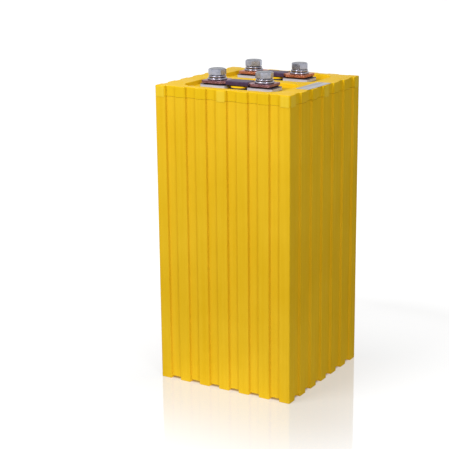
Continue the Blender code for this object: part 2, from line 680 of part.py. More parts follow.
# ---------------------------------------------------------------- relief valve and label
def make_valve():
    seat = CASE_Z - VALVE_DEPTH
    disc_bottom = seat + GAP
    disc_top = disc_bottom + DISC[1]
    stem_top = disc_top + STEM_LENGTH
    poppet = [(0, stem_top), (STEM_RADIUS, stem_top), (STEM_RADIUS, disc_top), (DISC[0], disc_top),
              (DISC[0], disc_bottom), (0, disc_bottom)]
    turned("valve_poppet", poppet, BLACK_RUBBER, closed=False)

    flange_bottom = CASE_Z + GAP
    flange_top = flange_bottom + CAP_FLANGE[1]
    stem_room = STEM_RADIUS + STEM_PLAY
    cap_profile = [(0, flange_top), (CAP_FLANGE[0] - 0.5 * MM, flange_top), (CAP_FLANGE[0], flange_top - 0.5 * MM),
                   (CAP_FLANGE[0], flange_bottom), (CAP_SKIRT[0], flange_bottom), (CAP_SKIRT[0], CAP_SKIRT_END),
                   (CAP_SKIRT[1], CAP_SKIRT_END), (CAP_SKIRT[1], CAP_CEILING), (stem_room, CAP_CEILING),
                   (stem_room, CASE_Z), (0, CASE_Z)]
    cap = turned("valve_cap", cap_profile, YELLOW, closed=False)
    for number in range(VENT_HOLES):
        angle = math.radians(VENT_TURN + 360 * number / VENT_HOLES)
        hole = cylinder(f"cut_vent_{number}", VENT_RADIUS, CAP_CEILING - 1 * MM, flange_top + 1 * MM,
                        location=(VENT_CIRCLE * math.cos(angle), VENT_CIRCLE * math.sin(angle), 0), segments=8)
        combine(cap, hole)

    spring_bottom = disc_top + GAP + SPRING_WIRE
    spring_top = CAP_CEILING - GAP - SPRING_WIRE
    points_per_turn = 10
    curve = bpy.data.curves.new("valve_spring", "CURVE")
    curve.dimensions = "3D"
    curve.bevel_depth = SPRING_WIRE
    curve.bevel_resolution = 1
    curve.use_fill_caps = True
    spline = curve.splines.new("POLY")
    count = SPRING_TURNS * points_per_turn + 1
    spline.points.add(count - 1)
    for index, point in enumerate(spline.points):
        share = index / (count - 1)
        angle = 2 * math.pi * SPRING_TURNS * share
        point.co = (SPRING_RADIUS * math.cos(angle), SPRING_RADIUS * math.sin(angle),
                    spring_bottom + (spring_top - spring_bottom) * share, 1)
    spring = bpy.data.objects.new("valve_spring", curve)
    curve.materials.append(ZINC)
    PARTS.objects.link(spring)


def make_label():
    """Blank foil label on the right-hand rim."""
    size_x, size_y, thickness = LABEL
    outline_solid("blank_label", rounded_rectangle(size_x / 2, size_y / 2, LABEL_RADIUS, steps=2),
                  CASE_Z + LABEL_LIFT, CASE_Z + LABEL_LIFT + thickness, LABEL_FOIL,
                  location=(*LABEL_CENTRE, 0))


# ---------------------------------------------------------------- assembly
def main():
    recesses = make_recess_cutter()
    make_case(recesses)
    make_lid(recesses)
    make_lid_seal()
    for row_name, row in ROWS.items():
        make_link(row_name, row)
        make_sleeve(row_name, row)
        make_collector(row_name, row)
        for side_name, side in SIDES.items():
            name = f"{row_name}_{side_name}"
            location = (side * POLE_X, row * POLE_Y, 0)
            turn = BOLT_TURNS[row_name, side_name]
            make_pad(row_name, row, side_name, side)
            make_pole(row_name, row, side_name, side)
            make_pole_seal(row_name, row, side_name, side)
            make_flat_washer(name, location)
            make_spring_washer(name, location, turn)
            make_bolt(name, location, turn)
    make_stacks()
    make_tabs()
    make_spacer()
    make_wrap()
    make_base_pad()
    make_valve()
    make_label()


main()
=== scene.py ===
import math

import bmesh
import bpy
from mathutils import Matrix, Vector


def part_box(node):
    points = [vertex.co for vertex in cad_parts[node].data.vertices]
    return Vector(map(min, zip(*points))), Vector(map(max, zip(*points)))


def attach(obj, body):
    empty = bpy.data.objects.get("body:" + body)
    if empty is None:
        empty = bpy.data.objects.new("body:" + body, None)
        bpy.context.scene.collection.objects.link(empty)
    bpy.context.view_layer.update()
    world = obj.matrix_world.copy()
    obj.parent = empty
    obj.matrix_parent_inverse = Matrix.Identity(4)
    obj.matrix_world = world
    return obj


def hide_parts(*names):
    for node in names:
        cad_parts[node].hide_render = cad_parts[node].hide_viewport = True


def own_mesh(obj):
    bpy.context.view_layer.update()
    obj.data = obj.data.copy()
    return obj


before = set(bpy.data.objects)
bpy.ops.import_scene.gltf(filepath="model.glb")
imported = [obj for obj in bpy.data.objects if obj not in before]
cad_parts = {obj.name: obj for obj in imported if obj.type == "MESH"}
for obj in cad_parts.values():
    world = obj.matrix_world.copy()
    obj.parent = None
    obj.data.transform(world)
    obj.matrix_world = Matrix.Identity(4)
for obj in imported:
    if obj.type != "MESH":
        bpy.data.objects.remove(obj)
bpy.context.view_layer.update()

MM = 0.001


# ------------------------------------------------------------------ sizes, in millimetres
def extent(node, axis):
    """Lowest and highest place of a CAD node along an axis."""
    k = "XYZ".index(axis)
    low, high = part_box(node)
    return round(low[k] / MM, 3), round(high[k] / MM, 3)


def middle_and_half(node, axis):
    """Middle of a CAD node along an axis, and half its size there."""
    low, high = extent(node, axis)
    return (low + high) / 2, (high - low) / 2


HALF_X, HALF_Y = extent("case", "X")[1], extent("case", "Y")[1]
TOP = extent("lid", "Z")[1]                     # rim
SEAM_LOW, SEAM_HIGH = 409.22, 409.55
RIBS = 7                                        # on each side
RECESS = 3.0                                    # depth between the ribs
FLANK = 0.7                                     # sideways run of a rib's flank
RIB_EDGE, RIB_ROOT, CORNER = 0.9, 0.4, 1.6      # radii of the ribbed plan
FOOT = 3.4                                      # how far the ribs stand down past the base
FOOT_LENGTH = 13.0                              # how far a rib's foot reaches under the case
INNER_X, INNER_Y = 97.0, 95.5                   # half sizes of the case's cavity
INNER_RADIUS = 4.0
INNER_FLOOR = 6.6
PLATE_UNDER = 414.0                             # underside of the lid's plate
TONGUE_LOW, TONGUE_LEAD_IN = 402.9, 403.5       # the lid's tongue fits into the cavity
TONGUE_PLAY, TONGUE_WALL = 0.4, 3.0
POCKET_X, POCKET_Y, POCKET_RADIUS = 75.0, 38.5, 20.0
POCKET_CENTRE = 48.5                            # from the middle plane
POCKET_FLOOR = 418.5
POLE_X, PAD_X = middle_and_half("negative_contact_pad_right", "X")
POLE_Y, PAD_Y = middle_and_half("negative_contact_pad_right", "Y")
PAD_LOW, PAD_HIGH = extent("negative_contact_pad_right", "Z")
PAD_RADIUS = 2.0
POLE_HOLE, BOLT_HOLE = 12.3, 7.6                # radii
LINK_X = middle_and_half("negative_link", "X")[1]
LINK_Y = middle_and_half("negative_link", "Y")[1]
LINK_LOW, LINK_HIGH = extent("negative_link", "Z")
LINK_NECK = 10.0                                # half its width
LINK_SHOULDER, LINK_THROAT = 24.0, 19.0         # where the taper to the neck starts and ends
SLEEVE_END = extent("negative_link_sleeve", "X")[1]
FLAT_WASHER_LOW, FLAT_WASHER_HIGH = extent("flat_washer_back_right", "Z")
SPRING_WASHER_LOW, SPRING_WASHER_RISE = 432.42, 0.35
HEAD_LOW, HEAD_HIGH = 435.7, extent("bolt_back_right", "Z")[1]
HEAD_FLATS, HEAD_CORNER = 22.0, 12.45           # across the flats, and the radius of the worn corners
LABEL_PLACE, LABEL_HALF = zip(*(middle_and_half("blank_label", axis) for axis in "XY"))
LABEL_RADIUS = 1.5
BOLT_TURNS = {("front", "left"): 23, ("front", "right"): 39, ("back", "left"): 46, ("back", "right"): 1}
ROWS = {"front": ("positive", -1), "back": ("negative", 1)}
SIDES = {"left": -1, "right": 1}


# ------------------------------------------------------------------ node materials
def backdrop_rays(tree):
    """1 for the rays that see the white backdrop: from the camera, mirrored or refracted."""
    rays = tree.nodes.new("ShaderNodeLightPath")
    seen = rays.outputs["Is Camera Ray"]
    for output in ("Is Glossy Ray", "Is Transmission Ray"):
        either = tree.nodes.new("ShaderNodeMath")
        either.operation = "MAXIMUM"
        tree.links.new(seen, either.inputs[0])
        tree.links.new(rays.outputs[output], either.inputs[1])
        seen = either.outputs[0]
    return seen


class Shader:
    """A Principled material and short calls for the nodes that feed it."""

    def __init__(self, name, roughness=0.5, metallic=0.0, ior=1.5, **sockets):
        self.material = bpy.data.materials.new(name)
        self.material.use_nodes = True
        self.tree = self.material.node_tree
        self.principled = self.tree.nodes["Principled BSDF"]
        self.principled.inputs["Roughness"].default_value = roughness
        self.principled.inputs["Metallic"].default_value = metallic
        self.principled.inputs["IOR"].default_value = ior
        for socket, value in sockets.items():
            self.principled.inputs[socket.replace("_", " ")].default_value = value
        self.coords = self.node("ShaderNodeTexCoord").outputs["Object"]

    def node(self, kind, **values):
        made = self.tree.nodes.new(kind)
        for key, value in values.items():
            setattr(made, key, value)
        return made

    def join(self, source, target):
        self.tree.links.new(source, target)

    def stretched(self, scale):
        mapping = self.node("ShaderNodeMapping")
        mapping.inputs["Scale"].default_value = scale
        self.join(self.coords, mapping.inputs["Vector"])
        return mapping.outputs["Vector"]

    def noise(self, scale, detail=3.0, roughness=0.5, stretch=None, distortion=0.0):
        made = self.node("ShaderNodeTexNoise")
        made.inputs["Scale"].default_value = scale
        made.inputs["Detail"].default_value = detail
        made.inputs["Roughness"].default_value = roughness
        made.inputs["Distortion"].default_value = distortion
        self.join(self.stretched(stretch) if stretch else self.coords, made.inputs["Vector"])
        return made.outputs["Fac"]

    def span(self, value, low, high, from_low=0.3, from_high=0.7, shape="LINEAR"):
        made = self.node("ShaderNodeMapRange", clamp=True, interpolation_type=shape)
        self.join(value, made.inputs["Value"])
        limits = {"From Min": from_low, "From Max": from_high, "To Min": low, "To Max": high}
        for key, number in limits.items():
            made.inputs[key].default_value = number
        return made.outputs["Result"]

    def math(self, operation, first, second):
        made = self.node("ShaderNodeMath", operation=operation)
        for slot, value in zip(made.inputs, (first, second)):
            if isinstance(value, (int, float)):
                slot.default_value = value
            else:
                self.join(value, slot)
        return made.outputs["Value"]

    def blend(self, factor, first, second):
        """Mix two colours, each a tuple or another node's output."""
        made = self.node("ShaderNodeMix", data_type="RGBA")
        self.join(factor, made.inputs["Factor"])
        for slot, value in ((made.inputs["A"], first), (made.inputs["B"], second)):
            if isinstance(value, tuple):
                slot.default_value = (*value, 1.0)
            else:
                self.join(value, slot)
        return made.outputs["Result"]

    def height(self, low, high):
        """0 below the height low and 1 above high, both in mm."""
        split = self.node("ShaderNodeSeparateXYZ")
        self.join(self.coords, split.inputs["Vector"])
        return self.span(split.outputs["Z"], 0.0, 1.0, low * MM, high * MM)

    def distance_outside(self, half_x, half_y):
        """Distance in plan from a rectangle round the origin, 0 inside it."""
        split = self.node("ShaderNodeSeparateXYZ")
        self.join(self.coords, split.inputs["Vector"])
        plan = self.node("ShaderNodeCombineXYZ")
        for axis, half in (("X", half_x), ("Y", half_y)):
            past = self.math("SUBTRACT", self.math("ABSOLUTE", split.outputs[axis], 0.0), half)
            self.join(self.math("MAXIMUM", past, 0.0), plan.inputs[axis])
        length = self.node("ShaderNodeVectorMath", operation="LENGTH")
        self.join(plan.outputs["Vector"], length.inputs[0])
        return length.outputs["Value"]

    def colour(self, source):
        self.join(source, self.principled.inputs["Base Color"])

    def rough(self, source):
        self.join(source, self.principled.inputs["Roughness"])

    def bump(self, *layers):
        """Each layer is (height, strength, distance in metres)."""
        normal = None
        for height, strength, distance in layers:
            made = self.node("ShaderNodeBump")
            made.inputs["Strength"].default_value = strength
            made.inputs["Distance"].default_value = distance
            self.join(height, made.inputs["Height"])
            if normal is not None:
                self.join(normal, made.inputs["Normal"])
            normal = made.outputs["Normal"]
        self.join(normal, self.principled.inputs["Normal"])


def moulded(name, low, high, roughness, grain=0.12, gloss=0.5):
    """Moulded plastic: cloudy colour, faint flow lines down the mould, and a fine grain."""
    shader = Shader(name, roughness, Specular_IOR_Level=gloss)
    clouds = shader.noise(9.0, 4.0, 0.6)
    flow = shader.noise(1.0, 3.0, 0.6, stretch=(260.0, 260.0, 6.0))
    mixed = shader.math("ADD", shader.math("MULTIPLY", clouds, 0.6), shader.math("MULTIPLY", flow, 0.4))
    shader.colour(shader.blend(shader.span(mixed, 0.0, 1.0, 0.36, 0.64), low, high))
    shader.rough(shader.span(shader.noise(35.0, 5.0), roughness - 0.06, roughness + 0.08))
    shader.bump((shader.noise(22.0, 2.0), 0.25, 0.0006), (shader.noise(2600.0, 2.0), grain, 0.00008))
    return shader.material


def worked_metal(name, low, high, roughness, grain, stretch=(1.0, 1.0, 1.0), spots=None, metallic=1.0,
                 painted_shade_below=None, painted_shade_above=None):
    """Metal with a rolled or turned grain and uneven gloss.

    Spots is the colour of its stains. Painted shade in the joint below or above it, where the parts shade
    each other, is given as (low, high, colour): it fades between the two heights, in mm.
    """
    shader = Shader(name, roughness, metallic=metallic)
    tone = shader.noise(grain, 4.0, 0.65, stretch=stretch)
    colour = shader.blend(shader.span(tone, 0.0, 1.0), low, high)
    if spots:
        stain = shader.span(shader.noise(140.0, 5.0, 0.7, distortion=0.6), 0.0, 0.85, 0.5, 0.72)
        colour = shader.blend(stain, colour, spots)
    # Painted shade: past these heights the colour darkens towards the joint, standing in for the shade
    # there.
    if painted_shade_below:
        z_low, z_high, joint_shade_colour = painted_shade_below
        colour = shader.blend(shader.height(z_low, z_high), joint_shade_colour, colour)
    if painted_shade_above:
        z_low, z_high, joint_shade_colour = painted_shade_above
        colour = shader.blend(shader.height(z_low, z_high), colour, joint_shade_colour)
    shader.colour(colour)
    shader.rough(shader.span(shader.noise(grain * 0.6, 5.0, 0.6), roughness - 0.08, roughness + 0.12))
    shader.bump((tone, 0.2, 0.00005), (shader.noise(900.0, 3.0), 0.1, 0.00005))
    return shader.material


def turned_metal(name, low, high, roughness, centre, crown=None):
    """Metal machined in fine rings about a vertical axis; over the height crown its top is darker, a painted
    shade.
    """
    shader = Shader(name, roughness, metallic=1.0)
    mapping = shader.node("ShaderNodeMapping")
    mapping.inputs["Location"].default_value = (-centre[0] * MM, -centre[1] * MM, 0.0)
    shader.join(shader.coords, mapping.inputs["Vector"])
    rings = shader.node("ShaderNodeTexWave", wave_type="RINGS", rings_direction="Z")
    rings.inputs["Scale"].default_value = 420.0
    rings.inputs["Distortion"].default_value = 1.5
    rings.inputs["Detail"].default_value = 3.0
    shader.join(mapping.outputs["Vector"], rings.inputs["Vector"])
    ring = rings.outputs["Fac"]
    cloud = shader.noise(160.0, 5.0, 0.65)
    colour = shader.blend(shader.span(cloud, 0.0, 1.0), low, high)
    if crown:
        # Painted shade: above the height crown the top is darker.
        top_painted_shade = tuple(part * 0.62 for part in low)
        colour = shader.blend(shader.height(crown, crown + 0.15), colour, top_painted_shade)
    shader.colour(colour)
    shader.rough(shader.span(cloud, roughness - 0.07, roughness + 0.1))
    shader.bump((ring, 0.12, 0.00004), (shader.noise(1500.0, 3.0), 0.12, 0.00004))
    return shader.material


def layered(name, low, high, roughness, metallic, per_metre, direction):
    """Stacked sheets seen on edge: thin lines across one direction."""
    shader = Shader(name, roughness, metallic=metallic)
    wave = shader.node("ShaderNodeTexWave", bands_direction=direction)
    wave.inputs["Scale"].default_value = per_metre
    wave.inputs["Distortion"].default_value = 0.6
    wave.inputs["Detail"].default_value = 2.0
    shader.join(shader.coords, wave.inputs["Vector"])
    line = wave.outputs["Fac"]
    shader.colour(shader.blend(line, low, high))
    shader.rough(shader.span(shader.noise(60.0, 4.0), roughness - 0.05, roughness + 0.1))
    shader.bump((line, 0.3, 0.0001))
    return shader.material


YELLOW = moulded("moulded_yellow", (0.79, 0.476, 0.012), (0.86, 0.542, 0.022), 0.42, gloss=0.01)
YELLOW_LID = moulded("moulded_yellow_lid", (0.78, 0.475, 0.007), (0.84, 0.54, 0.014), 0.42, gloss=0.03)
# The raised pads on the ribs get a paler yellow than the lid: a painted highlight.
YELLOW_TAB_PAINTED_HIGHLIGHT = moulded("moulded_yellow_tab_painted_highlight", (0.82, 0.545, 0.022), (0.88, 0.61, 0.046), 0.42, gloss=0.03)
BLACK_RUBBER = moulded("black_rubber", (0.012, 0.012, 0.012), (0.03, 0.03, 0.03), 0.6, 0.3)
GREY_PLASTIC = moulded("grey_plastic", (0.10, 0.105, 0.11), (0.15, 0.155, 0.16), 0.5)
FILM = moulded("insulating_film", (0.55, 0.62, 0.7), (0.66, 0.72, 0.78), 0.3, 0.05)
SLEEVE = moulded("shrink_sleeve", (0.032, 0.016, 0.045), (0.068, 0.038, 0.09), 0.45, 0.25, gloss=0.2)
# Each link's lowest foils fade to near black below 425.9 mm: painted shade in the joint over the contact
# blocks.
COPPER_FRONT = worked_metal("copper_foil_front", (0.18, 0.075, 0.10), (0.40, 0.22, 0.26), 0.36, 55.0,
                            (1.0, 6.0, 6.0), spots=(0.13, 0.05, 0.07),
                            painted_shade_below=(425.6, 425.9, (0.03, 0.015, 0.02)))
COPPER_BACK = worked_metal("copper_foil_back", (0.42, 0.15, 0.085), (0.62, 0.26, 0.16), 0.34, 55.0,
                           (1.0, 6.0, 6.0), spots=(0.27, 0.09, 0.06),
                           painted_shade_below=(425.6, 425.9, (0.04, 0.015, 0.012)))
COPPER = worked_metal("copper_bar", (0.62, 0.27, 0.15), (0.8, 0.38, 0.24), 0.3, 70.0)
ALUMINIUM = worked_metal("aluminium_bar", (0.62, 0.63, 0.65), (0.78, 0.79, 0.8), 0.35, 70.0)
# Each contact block's top fades to dark above 422.9 mm: painted shade under the link.
PLATED = worked_metal("plated_contact", (0.41, 0.435, 0.58), (0.55, 0.575, 0.75), 0.45, 90.0,
                      (1.0, 5.0, 5.0), metallic=0.25, painted_shade_above=(422.9, 423.3, (0.05, 0.035, 0.05)))
SPRING_STEEL = worked_metal("spring_steel", (0.42, 0.42, 0.45), (0.6, 0.6, 0.63), 0.25, 200.0)
LABEL = worked_metal("label_foil", (0.19, 0.19, 0.205), (0.52, 0.52, 0.55), 0.42, 34.0, (2.2, 0.35, 1.0),
                     metallic=0.4)
COPPER_FOILS = layered("copper_foils", (0.45, 0.18, 0.1), (0.8, 0.4, 0.26), 0.4, 1.0, 900.0, "X")
ALUMINIUM_FOILS = layered("aluminium_foils", (0.4, 0.4, 0.42), (0.8, 0.8, 0.82), 0.4, 1.0, 900.0, "X")
ELECTRODES = layered("electrode_foils", (0.02, 0.02, 0.022), (0.2, 0.2, 0.21), 0.6, 0.3, 700.0, "X")


# ------------------------------------------------------------------ mesh helpers
def finish_mesh(name, shape, smooth=35):
    bmesh.ops.remove_doubles(shape, verts=shape.verts, dist=1e-7)
    bmesh.ops.recalc_face_normals(shape, faces=shape.faces)
    mesh = bpy.data.meshes.new(name)
    shape.to_mesh(mesh)
    shape.free()
    if smooth:
        mesh.shade_smooth()
        mesh.set_sharp_from_angle(angle=math.radians(smooth))
    return mesh


def piece(name, mesh, material, nodes=(), body="cell"):
    """Add a visible piece that rides on a body and stands for the CAD nodes named."""
    made = bpy.data.objects.new(name, mesh)
    bpy.context.scene.collection.objects.link(made)
    mesh.materials.clear()
    mesh.materials.append(material)
    for polygon in mesh.polygons:
        polygon.material_index = 0
    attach(made, body)
    if nodes:
        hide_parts(*nodes)
    even = made.modifiers.new("even_shading", "WEIGHTED_NORMAL")
    even.keep_sharp = True
    return made


def loft(shape, rings, start=None, end=None, loop=False):
    """Join rings of equally many points in mm. start and end are heights of the centres that close them."""
    rows = [[shape.verts.new(Vector(point) * MM) for point in ring] for ring in rings]
    pairs = list(zip(rows, rows[1:]))
    if loop:
        pairs.append((rows[-1], rows[0]))
    count = len(rings[0])
    for low, high in pairs:
        for k in range(count):
            nxt = (k + 1) % count
            shape.faces.new((low[k], low[nxt], high[nxt], high[k]))
    for row, ring, cap in ((rows[0], rings[0], start), (rows[-1], rings[-1], end)):
        if cap is None:
            continue
        x = sum(point[0] for point in ring) / count
        y = sum(point[1] for point in ring) / count
        z = sum(point[2] for point in ring) / count if cap == "middle" else cap
        centre = shape.verts.new(Vector((x, y, z)) * MM)
        for k in range(count):
            shape.faces.new((row[k], row[(k + 1) % count], centre))


def cut(name, mesh, tools):
    """Cut the tool meshes out of a mesh, and merge its flat faces again."""
    base = bpy.data.objects.new(name + "_base", mesh)
    bpy.context.scene.collection.objects.link(base)
    helpers = [base]
    for number, tool in enumerate(tools):
        helper = bpy.data.objects.new(f"{name}_tool_{number}", tool)
        bpy.context.scene.collection.objects.link(helper)
        helpers.append(helper)
        modifier = base.modifiers.new(f"tool_{number}", "BOOLEAN")
        modifier.operation = "DIFFERENCE"
        modifier.solver = "EXACT"
        modifier.object = helper
    result = bpy.data.meshes.new_from_object(base.evaluated_get(bpy.context.evaluated_depsgraph_get()))
    for helper in helpers:
        bpy.data.objects.remove(helper, do_unlink=True)
    shape = bmesh.new()
    shape.from_mesh(result)
    bmesh.ops.dissolve_limit(shape, angle_limit=math.radians(0.2), verts=shape.verts, edges=shape.edges)
    return finish_mesh(name, shape)


def circle(radius, height, centre=(0.0, 0.0), count=48):
    angles = [2 * math.pi * k / count for k in range(count)]
    return [(centre[0] + radius * math.cos(a), centre[1] + radius * math.sin(a), height) for a in angles]


def hole_outline(radius, centre):
    """Clockwise circle, which cuts a hole in a filled curve."""
    return [(x, y) for x, y, _ in reversed(circle(radius, 0, centre, 40))]


def turned(name, profile, centre=(0.0, 0.0), count=48, closed=True):
    """Turn an (r, z) profile. A closed one is a ring; an open one ends on the axis at both ends."""
    shape = bmesh.new()
    if closed:
        loft(shape, [circle(r, z, centre, count) for r, z in profile], loop=True)
    else:
        rings = [circle(r, z, centre, count) for r, z in profile[1:-1]]
        loft(shape, rings, start=profile[0][1], end=profile[-1][1])
    return finish_mesh(name, shape)


def rounded_box_outline(half_x, half_y, radius, steps=8, centre=(0.0, 0.0)):
    points = []
    for quarter, (sx, sy) in enumerate(((1, 1), (-1, 1), (-1, -1), (1, -1))):
        for step in range(steps + 1):
            a = math.radians(90 * quarter + 90 * step / steps)
            points.append((centre[0] + sx * (half_x - radius) + radius * math.cos(a),
                           centre[1] + sy * (half_y - radius) + radius * math.sin(a)))
    return points


def at_height(outline, height):
    return [(x, y, height) for x, y in outline]


def fillet(corners):
    """Round each (x, y, radius, steps, tag) corner of a closed outline. Returns (x, y, tag) points."""
    points = []
    count = len(corners)
    for k, (x, y, radius, steps, tag) in enumerate(corners):
        here = Vector((x, y))
        before = Vector(corners[k - 1][:2])
        after = Vector(corners[(k + 1) % count][:2])
        u = (before - here).normalized()
        v = (after - here).normalized()
        half = math.acos(max(-1.0, min(1.0, u.dot(v)))) / 2
        if radius <= 0 or steps == 0 or half > math.radians(89.5):
            points.append((x, y, tag))
            continue
        reach = radius / math.tan(half)
        centre = here + (u + v).normalized() * (radius / math.sin(half))
        first = here + u * reach - centre
        last = here + v * reach - centre
        sweep = first.angle_signed(last)
        for step in range(steps + 1):
            turn = Matrix.Rotation(-sweep * step / steps, 2)
            spot = centre + turn @ first
            points.append((spot.x, spot.y, tag))
    return points


def offset(points, distance):
    """Move each point of a counter-clockwise outline inwards by distance."""
    moved = []
    count = len(points)
    for k, point in enumerate(points):
        here = Vector(point[:2])
        before = (here - Vector(points[k - 1][:2])).normalized()
        after = (Vector(points[(k + 1) % count][:2]) - here).normalized()
        first = Vector((-before.y, before.x))
        second = Vector((-after.y, after.x))
        inward = (first + second).normalized()
        scale = 1.0 / max(0.5, inward.dot(first))
        moved.append((here.x + inward.x * distance * scale, here.y + inward.y * distance * scale))
    return moved


def extruded(name, outline, low, high, bevel, holes=(), steps=2, shape=None):
    """Flat plate from a filled 2D curve, its edges rounded by the curve's own bevel."""
    curve = bpy.data.curves.new(name, "CURVE")
    curve.dimensions = "2D"
    curve.fill_mode = "BOTH"
    curve.extrude = ((high - low) / 2 - bevel) * MM
    curve.bevel_depth = bevel * MM
    curve.bevel_resolution = steps
    curve.offset = -bevel * MM
    for loop in (outline, *holes):
        spline = curve.splines.new("POLY")
        spline.points.add(len(loop) - 1)
        for point, (x, y) in zip(spline.points, loop):
            point.co = (x * MM, y * MM, 0.0, 1.0)
        spline.use_cyclic_u = True
    holder = bpy.data.objects.new(name, curve)
    bpy.context.scene.collection.objects.link(holder)
    mesh = bpy.data.meshes.new_from_object(holder.evaluated_get(bpy.context.evaluated_depsgraph_get()))
    bpy.data.objects.remove(holder, do_unlink=True)
    mesh.transform(Matrix.Translation((0.0, 0.0, (low + high) / 2 * MM)))
    made = bmesh.new() if shape is None else shape
    made.from_mesh(mesh)
    bpy.data.meshes.remove(mesh)
    return made


# ------------------------------------------------------------------ ribbed case and lid
def ribbed_outline():
    """Counter-clockwise plan of the ribs: (x, y, (side, kind)) points."""
    corners = []
    sides = [(2 * HALF_X, HALF_Y), (2 * HALF_Y, HALF_X)] * 2
    for index, (length, depth) in enumerate(sides):
        turn = Matrix.Rotation(math.radians(90 * index), 2)
        unit = length / (2 * RIBS - 1)
        for k in range(RIBS - 1):
            start = -length / 2 + unit * (2 * k + 1)
            end = start + unit
            for along, out, radius, kind in ((start, depth, RIB_EDGE, "rib"),
                                             (start + FLANK, depth - RECESS, RIB_ROOT, "recess"),
                                             (end - FLANK, depth - RECESS, RIB_ROOT, "recess"),
                                             (end, depth, RIB_EDGE, "rib")):
                spot = turn @ Vector((along, -out))
                corners.append((spot.x, spot.y, radius, 3, (index, kind)))
        spot = turn @ Vector((length / 2, -depth))
        corners.append((spot.x, spot.y, CORNER, 4, (index, "corner")))
    return fillet(corners)


def onto_rectangle(points, half_x, half_y, radius):
    """Carry each point of the ribbed plan straight inwards onto a rounded rectangle."""
    carried = []
    for x, y, (side, kind) in points:
        if kind == "corner":
            sx, sy = ((1, -1), (1, 1), (-1, 1), (-1, -1))[side]
            centre = Vector((sx * (HALF_X - CORNER), sy * (HALF_Y - CORNER)))
            way = (Vector((x, y)) - centre).normalized()
            carried.append((sx * (half_x - radius) + way.x * radius,
                            sy * (half_y - radius) + way.y * radius))
        elif side in (0, 2):
            carried.append((max(radius - half_x, min(half_x - radius, x)), half_y * (side - 1)))
        else:
            carried.append((half_x * (2 - side), max(radius - half_y, min(half_y - radius, y))))
    return carried


PLAN = ribbed_outline()
FEET = [0.0 if kind != "recess" else FOOT for _, _, (_, kind) in PLAN]


def plan_ring(inset, height, lifts=None):
    lifts = lifts or [0.0] * len(PLAN)
    return [(x, y, height + lift) for (x, y), lift in zip(offset(PLAN, inset), lifts)]


def case_mesh():
    under = onto_rectangle(PLAN, HALF_X - FOOT_LENGTH, HALF_Y - FOOT_LENGTH, 3.0)
    cavity = onto_rectangle(PLAN, INNER_X, INNER_Y, INNER_RADIUS)
    rings = [at_height(under, FOOT), [(x, y, lift) for (x, y), lift in zip(under, FEET)]]
    rings += [plan_ring(0.5, 0.0, FEET), plan_ring(0.15, 0.15, FEET), plan_ring(0.0, 0.5, FEET)]
    rings += [plan_ring(0.0, SEAM_LOW - 0.2), plan_ring(0.06, SEAM_LOW - 0.06), plan_ring(0.2, SEAM_LOW)]
    rings += [at_height(cavity, SEAM_LOW), at_height(cavity, INNER_FLOOR)]
    shape = bmesh.new()
    loft(shape, rings, start=FOOT, end=INNER_FLOOR)
    return finish_mesh("case_moulding", shape)


def pocket_tool(row):
    """Drafted hollow with a rounded floor and rim, given as (growth, height) steps."""
    centre = (0.0, row * POCKET_CENTRE)
    steps = ((-1.8, POCKET_FLOOR), (-1.3, 418.6), (-0.95, 418.9), (-0.8, 419.5), (-0.1, 423.2),
             (0.1, 423.6), (0.45, 423.93), (0.75, 424.08), (0.75, 430.0))
    rings = []
    for grow, height in steps:
        outline = rounded_box_outline(POCKET_X + grow, POCKET_Y + grow, POCKET_RADIUS + grow, 12, centre)
        rings.append(at_height(outline, height))
    shape = bmesh.new()
    loft(shape, rings, start="middle", end="middle")
    return finish_mesh("pocket_tool", shape)


def lid_pad_mesh():
    """Raised pads on the first, middle and last rib of each side; each laps a little over the seam."""
    section = ((0.01, 408.4), (0.3, 408.25), (0.5, 408.6), (0.5, 422.3), (0.3, 422.7), (0.01, 422.8))
    setback, edge_setback = 1.7, 0.25
    proud, edge_proud = 0.5, 0.28
    shape = bmesh.new()
    for index, (length, depth) in enumerate([(2 * HALF_X, HALF_Y), (2 * HALF_Y, HALF_X)] * 2):
        unit = length / (2 * RIBS - 1)
        turn = Matrix.Rotation(math.radians(90 * index), 2)
        for rib in (0, RIBS // 2, RIBS - 1):
            start = -length / 2 + unit * 2 * rib + setback
            end = start + unit - 2 * setback
            rings = []
            for along, most in ((start, edge_proud), (start + edge_setback, proud),
                                (end - edge_setback, proud), (end, edge_proud)):
                ring = []
                for out, z in section:
                    spot = turn @ Vector((along, -(depth + min(out, most))))
                    ring.append((spot.x, spot.y, z))
                rings.append(ring)
            loft(shape, rings, start="middle", end="middle")
    return finish_mesh("lid_pads", shape)


